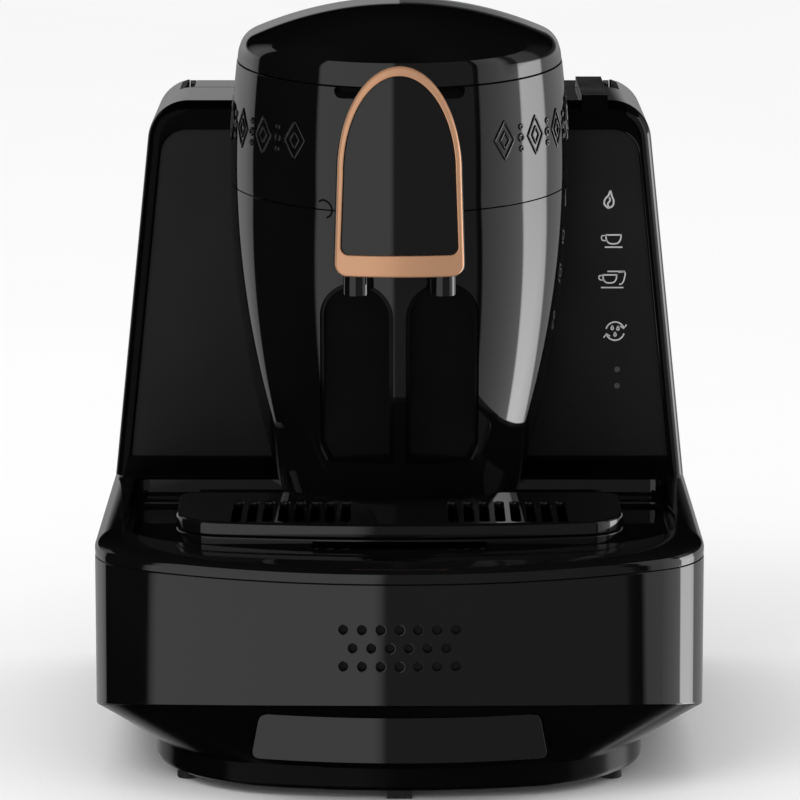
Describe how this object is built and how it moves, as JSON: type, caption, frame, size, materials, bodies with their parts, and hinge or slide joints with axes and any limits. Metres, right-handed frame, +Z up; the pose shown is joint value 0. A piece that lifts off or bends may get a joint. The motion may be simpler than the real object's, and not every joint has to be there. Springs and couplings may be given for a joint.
{
  "type": "electric turkish coffee maker",
  "caption": "Electric turkish coffee maker: barrel tower with arched spout badge and nozzles, hinged dome lid, touch panel wing, lift-out drip tray with slotted grille and rear water tank.",
  "frame": {"origin": "on the table, below the middle of the whole machine", "axes": "+Z up, -Y towards the user, +X to the user's right"},
  "size_m": [0.243, 0.27, 0.3019],
  "materials": {
    "gloss_black": "high gloss",
    "satin_black": "satin",
    "matt_black": "matt",
    "alcove_black": "satin gloss",
    "copper_trim": "satin copper",
    "badge_grey": "gloss",
    "pot_steel": "brushed",
    "heater_metal": "cast",
    "screw_steel": "plain",
    "rubber_feet": "matt",
    "seal_rubber": "matt",
    "hose_clear": "smooth",
    "led_lens": "clear",
    "circuit_board": "satin",
    "smoke_clear": "smoke tinted, clear",
    "valve_white": "satin",
    "pump_grey": "satin",
    "relay_blue": "satin",
    "transformer_yellow": "taped"
  },
  "bodies": {
    "housing": {"bottom_pan": "satin_black", "rubber_feet": "rubber_feet", "front_foot": "rubber_feet", "base_shell": "gloss_black", "side_shells": "gloss_black", "back_shell": "gloss_black", "deck": "gloss_black", "case_screws": "screw_steel", "tower_lower": "gloss_black", "alcove_liner": "alcove_black", "tower_upper": "gloss_black", "brew_deck": "satin_black", "pot_left": "pot_steel", "pot_right": "pot_steel", "pot_heater_left": "heater_metal", "pot_heater_right": "heater_metal", "temp_sensor_left": "heater_metal", "temp_sensor_right": "heater_metal", "coffee_tube_left": "hose_clear", "coffee_tube_right": "hose_clear", "spout_block": "gloss_black", "badge_frame": "copper_trim", "badge_panel": "badge_grey", "nozzle_left": "gloss_black", "nozzle_right": "gloss_black", "lid_pin": "screw_steel", "rear_housing": "gloss_black", "left_panel": "matt_black", "touch_panel": "matt_black", "status_leds": "led_lens", "touch_board": "circuit_board", "back_cover": "satin_black", "valve_seat": "valve_white", "inlet_hose": "hose_clear", "pump": "pump_grey", "pump_mount": "seal_rubber", "water_riser": "hose_clear", "water_splitter": "satin_black", "control_board": "circuit_board", "relays": "relay_blue", "transformer": "transformer_yellow", "speaker": "satin_black", "switch_frame": "matt_black", "cord_gland": "rubber_feet"},
    "lid": {"dome_lid": "gloss_black", "lid_liner": "satin_black", "lid_seals": "seal_rubber"},
    "tray": {"drip_tray": "gloss_black"},
    "grille": {"cup_grille": "satin_black"},
    "tank": {"water_tank": "smoke_clear", "tank_valve": "valve_white"},
    "tank_cover": {"tank_lid": "gloss_black", "lid_tongue": "gloss_black", "lid_tab": "gloss_black"},
    "rocker": {"power_rocker": "matt_black"}
  },
  "joints": [
    {"name": "lid_hinge", "type": "hinge", "parent": "housing", "child": "lid", "pos_m": [0, 0.09643, 0.2805], "axis": [-1, 0, 0], "range_deg": [0, 60]},
    {"name": "tray_lift", "type": "slide", "parent": "housing", "child": "tray", "axis": [0, 0, 1], "range_m": [0, 0.02]},
    {"name": "grille_lift", "type": "slide", "parent": "tray", "child": "grille", "axis": [0, 0, 1], "range_m": [0, 0.015]},
    {"name": "tank_lift", "type": "slide", "parent": "housing", "child": "tank", "axis": [0, 0, 1], "range_m": [0, 0.12]},
    {"name": "tank_lid_hinge", "type": "hinge", "parent": "tank", "child": "tank_cover", "pos_m": [0, 0.131, 0.2536], "axis": [-1, 0, 0], "range_deg": [0, 80]},
    {"name": "power_rocker_tilt", "type": "hinge", "parent": "housing", "child": "rocker", "pos_m": [-0.078, 0.1296, 0.052], "axis": [-1, 0, 0], "range_deg": [0, 14]}
  ]
}
